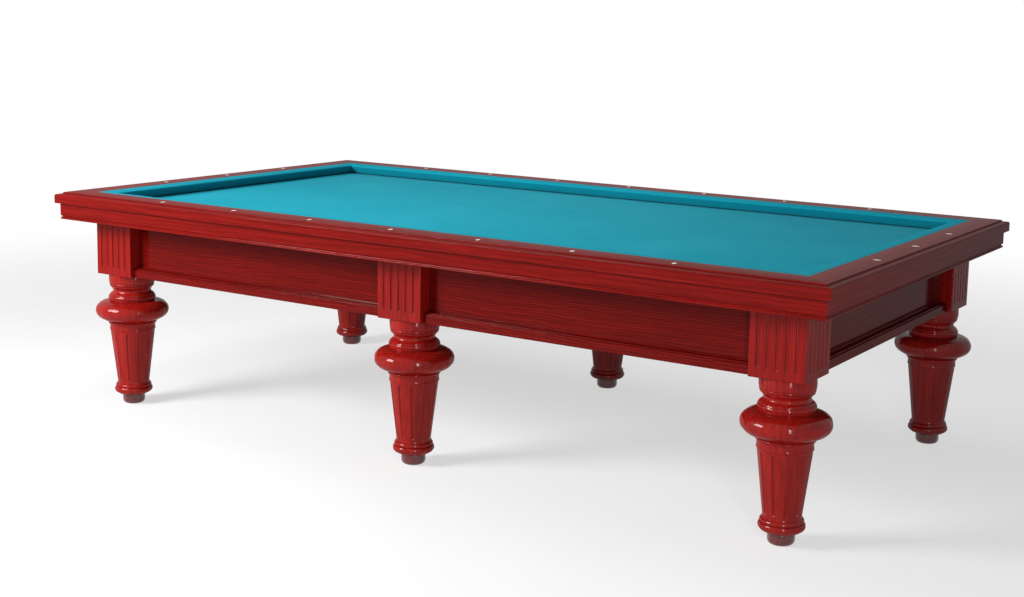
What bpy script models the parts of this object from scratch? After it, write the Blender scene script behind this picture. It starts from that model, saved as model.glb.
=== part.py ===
"""A carom billiards table: six turned legs, a panelled apron, a slate bed and four cushioned rails.

The origin is on the floor under the middle of the table. +X runs along the table, +Y across it, +Z up.
Lengths are in metres. "Out" is the distance outwards from the cushion noses, the edge of the playing area.
"""

import math

import bmesh
import bpy
from mathutils import Matrix, Vector

# ---- driving dimensions -------------------------------------------------------------------------

PLAY_LENGTH = 2.84  # between the noses of the end cushions
PLAY_WIDTH = 1.42  # between the noses of the side cushions
TABLE_HEIGHT = 0.84  # floor to the top of the wooden rail
GAP = 0.0003  # between pieces that rest on or fit into each other

# Rails
NOSE_HEIGHT = 0.037  # cushion nose above the bed cloth
NOSE_DROP = 0.006  # cushion nose below the top of the wooden rail
CLOTH_STRIP = 0.053  # out to where the cushion cloth ends and bare wood begins
RAIL_TOP_EDGE = 0.144  # out to the edge of the rail's flat top
RAIL_LIP = 0.167  # out to the widest point of the table
RAIL_STEP = 0.008  # depth of the step between the flat top and the shoulder
LIP_ROUND = 0.004
RAIL_INNER_FACE = 0.034  # out to the wood that the rubber is glued to
CLOTH_SEAT = 0.0018  # how far the wood is cut down under the cushion cloth

# Cushion rubber and cloth
CLOTH_THICKNESS = 0.0012
RUBBER_UNDERCUT = 0.021  # out to the foot of the rubber's sloping underside
RUBBER_CLEARANCE = 0.004  # rubber above the bed cloth
NOSE_FLAT = 0.003

# Fascia, the board that hangs under the lip
FASCIA_OUT = 0.152
FASCIA_THICKNESS = 0.040
FASCIA_HEIGHT = 0.0615
BEAD_HEIGHT = 0.005
COVE_DEPTH = 0.0045
COVE_HEIGHT = 0.009

# Bed
BED_CLOTH_THICKNESS = 0.001
BED_CLOTH_OUT = 0.090
SLATE_THICKNESS = 0.045
SLATE_OUT = 0.105
SLATE_COUNT = 3

# Posts, the fluted square blocks over the legs
POST_SIDE = 0.183
POST_OUT = 0.058
POST_BOTTOM_DROP = 0.3195  # below the top of the rail

# Apron boards between the posts
PANEL_RECESS = 0.050  # panel face behind the post faces
PANEL_THICKNESS = 0.022
FOOT_RAIL_RECESS = 0.018
FOOT_RAIL_HEIGHT = 0.030
LEDGE_HEIGHT = 0.010

# Inner frame
BEAM_WIDTH = 0.060
BEAM_HEIGHT = 0.120
TENON_LENGTH = 0.025
TENON_SHOULDER = 0.015
END_BEAM_SETBACK = 0.020

# Legs
LEG_SEGMENTS = 18
LEG_TENON_RADIUS = 0.030
LEG_TENON_LENGTH = 0.060
COLLAR_RADIUS = 0.086
COVE_RADIUS = 0.0702
BULGE_RADIUS = 0.139
NECK_RADIUS = 0.091
SHAFT_TOP_RADIUS = 0.0807
SHAFT_FOOT_RADIUS = 0.0605
BASE_RING_RADIUS = 0.0712

# Levelling feet
FOOT_HEIGHT = 0.0305
FOOT_RADIUS = 0.0425
FOOT_SEGMENTS = 16
FOOT_SOCKET_DEPTH = 0.0185
SPINDLE_RADIUS = 0.008
SPINDLE_STUB_RADIUS = 0.009
SPINDLE_LENGTH = 0.095  # threaded rod above its hexagon
HEX_ACROSS_CORNERS = 0.028
HEX_HEIGHT = 0.010
BORE_CLEARANCE = 0.0008  # between the rod and the leg's bore
HEX_CLEARANCE = 0.0025
SOCKET_CLEARANCE = 0.0005

# ---- sizes that follow from them ----------------------------------------------------------------

half_length = PLAY_LENGTH / 2
half_width = PLAY_WIDTH / 2

bed_top = TABLE_HEIGHT - NOSE_DROP - NOSE_HEIGHT
rail_bottom = bed_top + GAP
nose_z = bed_top + NOSE_HEIGHT
slate_top = bed_top - BED_CLOTH_THICKNESS - GAP
slate_bottom = slate_top - SLATE_THICKNESS
frame_top = slate_bottom - GAP
fascia_top = rail_bottom - GAP
fascia_bottom = fascia_top - FASCIA_HEIGHT

post_bottom = TABLE_HEIGHT - POST_BOTTOM_DROP
post_face_x = half_length + POST_OUT
post_face_y = half_width + POST_OUT
leg_x = post_face_x - POST_SIDE / 2
leg_y = post_face_y - POST_SIDE / 2
post_inner_x = post_face_x - POST_SIDE
post_inner_y = post_face_y - POST_SIDE

leg_bottom = FOOT_HEIGHT + GAP
leg_top = post_bottom - GAP

LEG_PLACES = {
    "front_left": (-leg_x, -leg_y),
    "front_middle": (0.0, -leg_y),
    "front_right": (leg_x, -leg_y),
    "back_left": (-leg_x, leg_y),
    "back_middle": (0.0, leg_y),
    "back_right": (leg_x, leg_y),
}


# ---- materials ----------------------------------------------------------------------------------


def principled(name, colour, roughness, metallic=0.0):
    material = bpy.data.materials.new(name)
    material.use_nodes = True
    shader = material.node_tree.nodes["Principled BSDF"]
    shader.inputs["Base Color"].default_value = (*colour, 1.0)
    shader.inputs["Roughness"].default_value = roughness
    shader.inputs["Metallic"].default_value = metallic
    return material


# ---- mesh helpers -------------------------------------------------------------------------------


def add_object(name, work, material, smooth=False):
    """Turns a bmesh into an object whose faces point outwards."""
    bmesh.ops.recalc_face_normals(work, faces=work.faces)
    mesh = bpy.data.meshes.new(name)
    work.to_mesh(mesh)
    work.free()
    if smooth:
        mesh.shade_smooth()
        mesh.set_sharp_from_angle(angle=math.radians(30))
    mesh.materials.append(material)
    made = bpy.data.objects.new(name, mesh)
    bpy.context.scene.collection.objects.link(made)
    return made


def box(name, low, high, material):
    """A rectangular block between two corners, with its origin at its centre."""
    size = Vector(high) - Vector(low)
    work = bmesh.new()
    bmesh.ops.create_cube(work, size=1.0)
    bmesh.ops.scale(work, vec=size, verts=work.verts)
    made = add_object(name, work, material)
    made.location = (Vector(low) + Vector(high)) / 2
    return made


def prism(name, starts, ends, material):
    """A bar whose end outlines are given point by point, so its ends may be square or mitred."""
    work = bmesh.new()
    first = [work.verts.new(point) for point in starts]
    last = [work.verts.new(point) for point in ends]
    work.faces.new(first)
    work.faces.new(last)
    for i in range(len(first)):
        j = (i + 1) % len(first)
        work.faces.new((first[i], first[j], last[j], last[i]))
    return add_object(name, work, material)


def mitred_bar(name, section, half_span, out_from, turn, material):
    """One side of a frame round the bed, its section given as (out, z), with both ends cut at 45 degrees.

    half_span is half the playing size along the bar, out_from is half the playing size across it.
    """
    ends = [half_span + out - GAP / 2 for out, _ in section]
    starts = [(-end, -(out_from + out), z) for end, (out, z) in zip(ends, section)]
    stops = [(end, -(out_from + out), z) for end, (out, z) in zip(ends, section)]
    made = prism(name, starts, stops, material)
    made.rotation_euler.z = turn
    return made


def straight_bar(name, section, low, high, turn, material):
    """A bar with square ends, its section given as (distance from the table's middle, z)."""
    starts = [(low, -away, z) for away, z in section]
    stops = [(high, -away, z) for away, z in section]
    made = prism(name, starts, stops, material)
    made.rotation_euler.z = turn
    return made


def turned(name, profile, segments, place, material):
    """A round piece, spun from a profile of (radius, z) that starts and ends on the axis."""
    work = bmesh.new()
    points = [work.verts.new((radius, 0.0, z)) for radius, z in profile]
    edges = [work.edges.new(pair) for pair in zip(points, points[1:])]
    bmesh.ops.spin(
        work,
        geom=points + edges,
        cent=(0, 0, 0),
        axis=(0, 0, 1),
        angle=2 * math.pi,
        steps=segments,
        use_merge=True,
    )
    bmesh.ops.remove_doubles(work, verts=work.verts, dist=1e-6)
    made = add_object(name, work, material, smooth=True)
    made.location = (*place, 0.0)
    return made


def cut(target, cutter):
    """Subtracts a helper object from a piece."""
    cutter.hide_render = True
    cutter.display_type = "WIRE"
    modifier = target.modifiers.new("cut_" + cutter.name, "BOOLEAN")
    modifier.operation = "DIFFERENCE"
    modifier.object = cutter


def offset_path(points, distance):
    """A path moved sideways by a distance, to its left, with its corners kept sharp."""
    moved = []
    for i, point in enumerate(points):
        before = (Vector(point) - Vector(points[i - 1])).normalized() if i else None
        after = (
            (Vector(points[i + 1]) - Vector(point)).normalized()
            if i + 1 < len(points)
            else before
        )
        before = before or after
        normal = Vector((-(before.y + after.y), before.x + after.x)).normalized()
        stretch = 1 / max(normal.dot(Vector((-after.y, after.x))), 0.4)
        moved.append(tuple(Vector(point) + normal * distance * stretch))
    return moved


# ---- sections -----------------------------------------------------------------------------------


def rail_section():
    """The wooden rail: cushion seat, flat top, step, shoulder and rounded lip."""
    shoulder = TABLE_HEIGHT - RAIL_STEP
    return [
        (RAIL_INNER_FACE, rail_bottom),
        (RAIL_INNER_FACE, TABLE_HEIGHT - CLOTH_SEAT),
        (CLOTH_STRIP, TABLE_HEIGHT - CLOTH_SEAT),
        (CLOTH_STRIP, TABLE_HEIGHT),
        (RAIL_TOP_EDGE - LIP_ROUND / 2, TABLE_HEIGHT),
        (RAIL_TOP_EDGE, TABLE_HEIGHT - LIP_ROUND / 2),
        (RAIL_TOP_EDGE, shoulder),
        (RAIL_LIP - LIP_ROUND, shoulder - LIP_ROUND / 2),
        (RAIL_LIP, shoulder - LIP_ROUND * 1.5),
        (RAIL_LIP, rail_bottom + LIP_ROUND),
        (RAIL_LIP - LIP_ROUND, rail_bottom),
    ]


def rubber_section():
    """The cushion rubber: a flat back, a sloping top, a blunt nose and an undercut underside."""
    front = CLOTH_THICKNESS + GAP
    back = RAIL_INNER_FACE - GAP
    underside = bed_top + RUBBER_CLEARANCE
    top = TABLE_HEIGHT - CLOTH_SEAT - GAP
    return [
        (back, top - CLOTH_THICKNESS),
        (front + NOSE_FLAT / 2, nose_z),
        (front, nose_z - NOSE_FLAT / 2),
        (front, nose_z - NOSE_FLAT * 1.5),
        (RUBBER_UNDERCUT, underside),
        (back, underside),
    ]


def cushion_cloth_section():
    """The cloth that wraps the rubber, from the edge of the bare wood round the nose to the underside."""
    seat = TABLE_HEIGHT - CLOTH_SEAT + GAP
    rubber = rubber_section()
    wrapped = offset_path(rubber, -GAP)
    inner = [(CLOTH_STRIP - GAP, seat), (RAIL_INNER_FACE, seat), *wrapped[1:]]
    outer = offset_path(inner, -CLOTH_THICKNESS)
    return inner + outer[::-1]


def fascia_section():
    """The fascia board: a flat face with a cove and a bead along its lower edge."""
    face = FASCIA_OUT
    back = FASCIA_OUT - FASCIA_THICKNESS
    cove_top = fascia_bottom + BEAD_HEIGHT + COVE_HEIGHT
    return [
        (back, fascia_bottom),
        (back, fascia_top),
        (face, fascia_top),
        (face, cove_top),
        (face - COVE_DEPTH * 0.8, cove_top - COVE_HEIGHT * 0.4),
        (face - COVE_DEPTH, fascia_bottom + BEAD_HEIGHT),
        (face - COVE_DEPTH / 2, fascia_bottom + BEAD_HEIGHT),
        (face - COVE_DEPTH / 2, fascia_bottom),
    ]


def apron_section(post_face):
    """An apron board as (distance from the table's middle, z): a recessed panel over a moulded foot rail."""
    panel_face = post_face - PANEL_RECESS
    back = panel_face - PANEL_THICKNESS
    rail_face = post_face - FOOT_RAIL_RECESS
    rail_top = post_bottom + FOOT_RAIL_HEIGHT
    ledge_step = (rail_face - panel_face) / 2
    return [
        (back, post_bottom),
        (back, frame_top),
        (panel_face, frame_top),
        (panel_face, rail_top + LEDGE_HEIGHT),
        (panel_face + ledge_step, rail_top + LEDGE_HEIGHT / 2),
        (rail_face, rail_top),
        (rail_face, post_bottom),
    ]


def leg_profile():
    """The turned leg: upper stations measured down from its top, lower ones up from its foot.

    The bore for the levelling spindle is open at the bottom, and the tenon stands on the top.
    """
    bore = SPINDLE_RADIUS + BORE_CLEARANCE
    hex_bore = HEX_ACROSS_CORNERS / 2 + HEX_CLEARANCE
    hex_bore_top = FOOT_HEIGHT + GAP + HEX_HEIGHT + HEX_CLEARANCE
    bore_top = hex_bore_top + SPINDLE_LENGTH
    tenon = LEG_TENON_RADIUS - GAP
    bored = [
        (0.0, bore_top),
        (bore, bore_top),
        (bore, hex_bore_top),
        (hex_bore, hex_bore_top),
        (hex_bore, leg_bottom),
    ]
    from_foot = [
        (BASE_RING_RADIUS - 0.021, 0.0),
        (BASE_RING_RADIUS - 0.005, 0.006),
        (BASE_RING_RADIUS, 0.021),
        (BASE_RING_RADIUS - 0.002, 0.030),
        (BASE_RING_RADIUS - 0.006, 0.041),
        (SHAFT_FOOT_RADIUS - 0.001, 0.049),
        (SHAFT_FOOT_RADIUS, 0.0555),
    ]
    from_top = [
        (SHAFT_TOP_RADIUS, 0.2470),
        (SHAFT_TOP_RADIUS + 0.0033, 0.2445),
        (NECK_RADIUS - 0.0025, 0.2120),
        (NECK_RADIUS, 0.2015),
        (BULGE_RADIUS - 0.024, 0.1905),
        (BULGE_RADIUS - 0.005, 0.1685),
        (BULGE_RADIUS, 0.1465),
        (BULGE_RADIUS - 0.003, 0.1245),
        (BULGE_RADIUS - 0.021, 0.1055),
        (COLLAR_RADIUS, 0.0990),
        (COLLAR_RADIUS, 0.0885),
        (COVE_RADIUS + 0.0033, 0.0705),
        (COVE_RADIUS, 0.0618),
        (COLLAR_RADIUS - 0.007, 0.0460),
        (COLLAR_RADIUS, 0.0305),
        (COLLAR_RADIUS, 0.0125),
        (COLLAR_RADIUS - 0.006, 0.0),
    ]
    return (
        bored
        + [(radius, leg_bottom + up) for radius, up in from_foot]
        + [(radius, leg_top - down) for radius, down in from_top]
        + [(tenon, leg_top), (tenon, leg_top + LEG_TENON_LENGTH), (0.0, leg_top + LEG_TENON_LENGTH)]
    )


def foot_profile():
    """The levelling foot: a round pad with a rounded underside and a socket for the spindle."""
    socket = SPINDLE_STUB_RADIUS + SOCKET_CLEARANCE
    socket_floor = FOOT_HEIGHT - FOOT_SOCKET_DEPTH
    return [
        (0.0, 0.0),
        (FOOT_RADIUS * 0.78, 0.0),
        (FOOT_RADIUS * 0.92, FOOT_HEIGHT * 0.13),
        (FOOT_RADIUS, FOOT_HEIGHT * 0.39),
        (FOOT_RADIUS, FOOT_HEIGHT * 0.92),
        (FOOT_RADIUS * 0.95, FOOT_HEIGHT),
        (socket, FOOT_HEIGHT),
        (socket, socket_floor),
        (0.0, socket_floor),
    ]


# ---- pieces -------------------------------------------------------------------------------------


def make_legs(wood, foot_wood, steel):
    for name, place in LEG_PLACES.items():
        turned("leg_" + name, leg_profile(), LEG_SEGMENTS, place, wood)
        turned("foot_" + name, foot_profile(), FOOT_SEGMENTS, place, foot_wood)
        make_spindle("spindle_" + name, place, steel)


def make_spindle(name, place, steel):
    """The levelling spindle: a stub that turns in the foot, a spanner hexagon and a threaded rod."""
    stub_bottom = FOOT_HEIGHT - FOOT_SOCKET_DEPTH + GAP
    hex_bottom = FOOT_HEIGHT + GAP
    hex_top = hex_bottom + HEX_HEIGHT
    flat_radius = HEX_ACROSS_CORNERS / 2 * math.cos(math.pi / 6)
    rings = [
        ring_of(SPINDLE_STUB_RADIUS, SPINDLE_STUB_RADIUS, stub_bottom),
        ring_of(SPINDLE_STUB_RADIUS, SPINDLE_STUB_RADIUS, hex_bottom),
        ring_of(HEX_ACROSS_CORNERS / 2, flat_radius, hex_bottom),
        ring_of(HEX_ACROSS_CORNERS / 2, flat_radius, hex_top),
        ring_of(SPINDLE_RADIUS, SPINDLE_RADIUS, hex_top),
        ring_of(SPINDLE_RADIUS, SPINDLE_RADIUS, hex_top + SPINDLE_LENGTH),
    ]
    work = bmesh.new()
    made = [[work.verts.new(point) for point in ring] for ring in rings]
    for low, high in zip(made, made[1:]):
        for i in range(len(low)):
            j = (i + 1) % len(low)
            work.faces.new((low[i], low[j], high[j], high[i]))
    work.faces.new(made[0])
    work.faces.new(made[-1])
    spindle = add_object(name, work, steel, smooth=True)
    spindle.location = (*place, 0.0)


def ring_of(even_radius, odd_radius, z):
    """Twelve points round the axis. Equal radii give a circle, and a hexagon has its corners on the even ones."""
    radii = [even_radius, odd_radius] * 6
    return [
        (radius * math.cos(i * math.pi / 6), radius * math.sin(i * math.pi / 6), z)
        for i, radius in enumerate(radii)
    ]


def make_posts(wood):
    for name, (x, y) in LEG_PLACES.items():
        side = POST_SIDE / 2
        post = box(
            "post_" + name,
            (x - side, y - side, post_bottom),
            (x + side, y + side, frame_top),
            wood,
        )
        socket_top = leg_top + LEG_TENON_LENGTH + GAP
        socket_profile = [
            (0.0, post_bottom - LEG_TENON_LENGTH),
            (LEG_TENON_RADIUS, post_bottom - LEG_TENON_LENGTH),
            (LEG_TENON_RADIUS, socket_top),
            (0.0, socket_top),
        ]
        socket = turned("socket_" + name, socket_profile, LEG_SEGMENTS, (x, y), wood)
        cut(post, socket)


def make_frame(frame_wood):
    """Two side beams along the posts, and cross beams tenoned into them."""
    beam_bottom = frame_top - BEAM_HEIGHT
    apron_back_x = post_face_x - PANEL_RECESS - PANEL_THICKNESS
    side_end = apron_back_x - GAP
    side_outer = post_inner_y - GAP
    side_inner = side_outer - BEAM_WIDTH
    side_beams = [
        box(
            "side_beam_" + name,
            (-side_end, min(side * side_outer, side * side_inner), beam_bottom),
            (side_end, max(side * side_outer, side * side_inner), frame_top),
            frame_wood,
        )
        for name, side in (("front", -1), ("back", 1))
    ]
    slate_length = 2 * (half_length + SLATE_OUT) / SLATE_COUNT
    end_x = side_end - END_BEAM_SETBACK - BEAM_WIDTH / 2
    beam_places = {
        "left": -end_x,
        "joint_left": -slate_length / 2,
        "middle": 0.0,
        "joint_right": slate_length / 2,
        "right": end_x,
    }
    for name, x in beam_places.items():
        half = side_inner - GAP
        beam = box(
            "cross_beam_" + name,
            (x - BEAM_WIDTH / 2, -half, beam_bottom),
            (x + BEAM_WIDTH / 2, half, frame_top),
            frame_wood,
        )
        add_tenons(beam)
        for side, side_beam in zip((-1, 1), side_beams):
            reach = sorted((side * (side_inner - TENON_LENGTH), side * (side_inner + TENON_LENGTH)))
            mortise = box(
                f"mortise_{name}_{side + 1}",
                (x - BEAM_WIDTH / 2 + TENON_SHOULDER - GAP, reach[0], beam_bottom + TENON_SHOULDER - GAP),
                (x + BEAM_WIDTH / 2 - TENON_SHOULDER + GAP, reach[1], frame_top - TENON_SHOULDER + GAP),
                frame_wood,
            )
            cut(side_beam, mortise)


def add_tenons(beam):
    """Insets both ends of a cross beam and pulls the inner faces out into tenons."""
    work = bmesh.new()
    work.from_mesh(beam.data)
    work.faces.ensure_lookup_table()
    ends = [face for face in work.faces if abs(face.normal.y) > 0.9]
    for face in ends:
        bmesh.ops.inset_individual(work, faces=[face], thickness=TENON_SHOULDER, use_even_offset=True)
        pulled = bmesh.ops.extrude_discrete_faces(work, faces=[face])["faces"][0]
        shift = Vector((0, math.copysign(TENON_LENGTH, pulled.normal.y), 0))
        bmesh.ops.translate(work, vec=shift, verts=pulled.verts)
    bmesh.ops.remove_doubles(work, verts=work.verts, dist=1e-6)
    bmesh.ops.recalc_face_normals(work, faces=work.faces)
    work.to_mesh(beam.data)
    work.free()


def make_aprons(wood):
    """Six boards: two on each long side, between the posts, and one at each end."""
    along = apron_section(post_face_y)
    across = apron_section(post_face_x)
    inner = POST_SIDE / 2 + GAP
    outer = post_inner_x - GAP
    straight_bar("apron_front_left", along, -outer, -inner, 0.0, wood)
    straight_bar("apron_front_right", along, inner, outer, 0.0, wood)
    straight_bar("apron_back_left", along, inner, outer, math.pi, wood)
    straight_bar("apron_back_right", along, -outer, -inner, math.pi, wood)
    reach = post_inner_y - GAP
    straight_bar("apron_right", across, -reach, reach, math.pi / 2, wood)
    straight_bar("apron_left", across, -reach, reach, -math.pi / 2, wood)


def make_perimeter(wood, cloth, rubber):
    """Rails, rubber cushions, their cloth and the fascia boards, each mitred at the four corners."""
    sides = {
        "front": (half_length, half_width, 0.0),
        "right": (half_width, half_length, math.pi / 2),
        "back": (half_length, half_width, math.pi),
        "left": (half_width, half_length, -math.pi / 2),
    }
    for name, (half_span, out_from, turn) in sides.items():
        mitred_bar("rail_" + name, rail_section(), half_span, out_from, turn, wood)
        mitred_bar("rubber_" + name, rubber_section(), half_span, out_from, turn, rubber)
        mitred_bar("cushion_cloth_" + name, cushion_cloth_section(), half_span, out_from, turn, cloth)
        mitred_bar("fascia_" + name, fascia_section(), half_span, out_from, turn, wood)


def make_bed(cloth, slate):
    """Three slates side by side, and the cloth stretched over them."""
    length = 2 * (half_length + SLATE_OUT) / SLATE_COUNT
    width = half_width + SLATE_OUT
    start = -(half_length + SLATE_OUT)
    for number in range(SLATE_COUNT):
        box(
            f"slate_{number + 1}",
            (start + number * length + GAP / 2, -width, slate_bottom),
            (start + (number + 1) * length - GAP / 2, width, slate_top),
            slate,
        )
    box(
        "bed_cloth",
        (-half_length - BED_CLOTH_OUT, -half_width - BED_CLOTH_OUT, bed_top - BED_CLOTH_THICKNESS),
        (half_length + BED_CLOTH_OUT, half_width + BED_CLOTH_OUT, bed_top),
        cloth,
    )


def main():
    for old in list(bpy.data.objects):
        bpy.data.objects.remove(old)
    mahogany = principled("mahogany", (0.19, 0.018, 0.012), 0.28)
    foot_wood = principled("foot_wood", (0.07, 0.012, 0.010), 0.35)
    frame_wood = principled("frame_wood", (0.45, 0.31, 0.17), 0.7)
    steel = principled("steel", (0.55, 0.55, 0.56), 0.35, 1.0)
    rubber = principled("rubber", (0.35, 0.18, 0.08), 0.8)
    cloth = principled("cloth", (0.01, 0.25, 0.32), 0.9)
    slate = principled("slate", (0.10, 0.11, 0.12), 0.6)
    make_legs(mahogany, foot_wood, steel)
    make_posts(mahogany)
    make_frame(frame_wood)
    make_aprons(mahogany)
    make_perimeter(mahogany, cloth, rubber)
    make_bed(cloth, slate)


main()
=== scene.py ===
# %% [markdown]
# # A carom billiard table
#
# A carom table has no pockets: a slate bed under tight teal cloth, four cushioned rails, a panelled apron and
# six turned legs, all in red mahogany under glossy lacquer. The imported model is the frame. It gives every
# piece its place and its outer size, and this lesson gives the pieces their fine shape and their finish.
# Each shape is a formula over two parameters, worked out with numpy for all its points at once.

# %% Load the frame
import math

import bmesh
import bpy
import numpy as np
from mathutils import Matrix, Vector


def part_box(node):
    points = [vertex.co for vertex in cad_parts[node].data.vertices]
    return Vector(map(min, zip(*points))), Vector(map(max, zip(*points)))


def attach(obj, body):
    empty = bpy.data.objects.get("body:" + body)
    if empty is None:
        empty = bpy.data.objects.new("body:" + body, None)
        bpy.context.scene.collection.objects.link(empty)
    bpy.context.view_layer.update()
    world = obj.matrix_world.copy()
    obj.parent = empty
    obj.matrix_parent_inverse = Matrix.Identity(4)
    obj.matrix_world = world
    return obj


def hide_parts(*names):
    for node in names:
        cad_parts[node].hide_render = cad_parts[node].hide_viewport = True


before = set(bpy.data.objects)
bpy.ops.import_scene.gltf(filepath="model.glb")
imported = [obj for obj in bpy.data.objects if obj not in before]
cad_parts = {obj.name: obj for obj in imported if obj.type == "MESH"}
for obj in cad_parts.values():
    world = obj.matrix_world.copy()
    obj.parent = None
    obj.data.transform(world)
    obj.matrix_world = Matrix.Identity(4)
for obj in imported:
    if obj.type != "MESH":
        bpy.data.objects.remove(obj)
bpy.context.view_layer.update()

# %% [markdown]
# ## Reading the sizes
#
# Nothing is measured by hand here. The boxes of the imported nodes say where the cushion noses, the rail tops
# and the boards are. "Out" is the distance outwards from the noses, as a table maker would give it.

# %% Sizes of the table
half_width = -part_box("cushion_cloth_front")[1][1]
half_length = -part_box("cushion_cloth_left")[1][0]
rail_low, rail_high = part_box("rail_front")
fascia_low, fascia_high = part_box("fascia_front")
top = rail_high[2]
rail_bottom = rail_low[2]
rail_out = -rail_low[1] - half_width
wood_inner = -rail_high[1] - half_width
fascia_out = -fascia_low[1] - half_width
fascia_back = -fascia_high[1] - half_width
cloth_strip = -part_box("cushion_cloth_front")[0][1] - half_width
cloth_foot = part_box("cushion_cloth_front")[0][2]
bed_low, bed_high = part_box("bed_cloth")
post_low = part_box("post_front_middle")[0]
PLACES = ("front_left", "front_middle", "front_right", "back_left", "back_middle", "back_right")
SIDES = ("front", "right", "back", "left")
joint_gap = 0.0003
print(f"playing area {2 * half_length:.3f} by {2 * half_width:.3f} m")
print(f"rail top {top:.3f} m, cloth {bed_high[2]:.3f} m")

# %% [markdown]
# ## The camera
#
# The camera stands some metres off the front right corner, at about eye height, with a lens a little longer
# than a normal one. It is set by azimuth, elevation and roll round a point inside the table, and a small
# shift moves the frame without turning the camera.

# %% Camera
AZIMUTH, ELEVATION, ROLL = math.radians(32.25), math.radians(8.48), math.radians(1.23)
LENS, DISTANCE, AIM = 53.95, 5.83, np.array([0.054, 0.040, 0.728])  # millimetres, metres, metres
back = np.array([
    math.sin(AZIMUTH) * math.cos(ELEVATION),
    -math.cos(AZIMUTH) * math.cos(ELEVATION),
    math.sin(ELEVATION),
])
level = np.cross(-back, (0, 0, 1))
level /= np.linalg.norm(level)
upright = np.cross(level, -back)
right = math.cos(ROLL) * level + math.sin(ROLL) * upright
above = -math.sin(ROLL) * level + math.cos(ROLL) * upright
pose = np.eye(4)
pose[:3, 0], pose[:3, 1], pose[:3, 2] = right, above, back
pose[:3, 3] = AIM + DISTANCE * back

camera_data = bpy.data.cameras.new("camera")
camera_data.sensor_width = 36
camera_data.lens = LENS
camera_data.shift_x, camera_data.shift_y = -0.028, -0.062
camera = bpy.data.objects.new("camera", camera_data)
bpy.context.scene.collection.objects.link(camera)
camera.matrix_world = Matrix(pose.tolist())
bpy.context.scene.camera = camera
print("camera at", np.round(pose[:3, 3], 3), "lens", round(camera_data.lens, 1), "mm")

# %% [markdown]
# ## Tools for shapes
#
# Five small tools make every piece. `smooth` draws a curve through a few stations, as a turner's template
# does. `filleted` rounds the corners of an outline, and `thickened` gives a line a wall. `solid` skins a
# stack of closed outlines, and `piece` turns that skin into an object that rides on a body and stands in for
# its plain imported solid.


# %% Curves
def smooth(stations, steps=6):
    """A smooth curve through stations. Each span is the cubic whose slope at a station runs parallel to
    the line between the stations on either side of it."""
    p = np.asarray(stations, float)
    p = np.vstack([2 * p[0] - p[1], p, 2 * p[-1] - p[-2]])
    t = np.linspace(0, 1, steps, endpoint=False)[None, :, None]
    a, b, c, d = p[:-3, None], p[1:-2, None], p[2:-1, None], p[3:, None]
    spans = (2 * b + (c - a) * t + (2 * a - 5 * b + 4 * c - d) * t**2 + (3 * b - a - 3 * c + d) * t**3) / 2
    return np.vstack([spans.reshape(-1, p.shape[1]), p[-2:-1]])


def filleted(corners, radii, steps=6):
    """An outline with rounded corners. Each corner becomes the arc that touches both its sides: the arc's
    centre lies on the corner's bisector, at the radius over the sine of half the corner's angle."""
    p = np.asarray(corners, float)
    r = np.broadcast_to(np.asarray(radii, float), len(p))[:, None]
    before, after = np.roll(p, 1, axis=0) - p, np.roll(p, -1, axis=0) - p
    before /= np.linalg.norm(before, axis=1, keepdims=True)
    after /= np.linalg.norm(after, axis=1, keepdims=True)
    half = np.arccos(np.clip((before * after).sum(1, keepdims=True), -0.9999, 0.9999)) / 2
    bisector = (before + after) / np.linalg.norm(before + after, axis=1, keepdims=True)
    centre = p + bisector * r / np.sin(half)
    start, stop = p + before * r / np.tan(half) - centre, p + after * r / np.tan(half) - centre
    turn = (math.pi - 2 * half)[:, None]
    s = np.linspace(0, 1, steps)[None, :, None]
    arcs = (np.sin((1 - s) * turn) * start[:, None] + np.sin(s * turn) * stop[:, None]) / np.sin(turn)
    return (centre[:, None] + arcs).reshape(-1, 2)


def thickened(path, thickness):
    """A closed outline: the path, and the path again at a distance to its right."""
    slope = np.gradient(path, axis=0)
    slope /= np.linalg.norm(slope, axis=1, keepdims=True)
    side = np.stack([slope[:, 1], -slope[:, 0]], axis=1)
    return np.vstack([path, (path + side * thickness)[::-1]])


print("curve tools ready")


# %% Skins
def solid(name, rings, crease=32):
    """A closed mesh over rings, an array of (ring, point, xyz). Point (i, j) joins (i + 1, j) and (i, j + 1),
    each ring closes on itself, and the first and the last ring are filled."""
    count, around = rings.shape[:2]
    index = np.arange(count * around).reshape(count, around)
    wrapped = np.hstack([index, index[:, :1]])
    quads = np.stack([wrapped[:-1, :-1], wrapped[:-1, 1:], wrapped[1:, 1:], wrapped[1:, :-1]], axis=-1)
    faces = quads.reshape(-1, 4).tolist() + [index[0, ::-1].tolist(), index[-1].tolist()]
    mesh = bpy.data.meshes.new(name)
    mesh.from_pydata(rings.reshape(-1, 3).tolist(), [], faces)
    work = bmesh.new()
    work.from_mesh(mesh)
    bmesh.ops.remove_doubles(work, verts=work.verts, dist=2e-6)
    bmesh.ops.recalc_face_normals(work, faces=work.faces)
    work.to_mesh(mesh)
    work.free()
    mesh.shade_smooth()
    mesh.set_sharp_from_angle(angle=math.radians(crease))
    return mesh


def piece(name, mesh, material, stands_for=(), body="table"):
    """An object at the origin, unturned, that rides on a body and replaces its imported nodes."""
    mesh.materials.append(material)
    made = bpy.data.objects.new(name, mesh)
    bpy.context.scene.collection.objects.link(made)
    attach(made, body)
    if stands_for:
        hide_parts(*stands_for)
    return made


print("skin tools ready")

# %% [markdown]
# ## Tools for finishes
#
# A material is a small graph of nodes. `add` puts in one node with its values, and `link` joins two of
# them, so that each recipe below reads as a list of steps.


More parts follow.
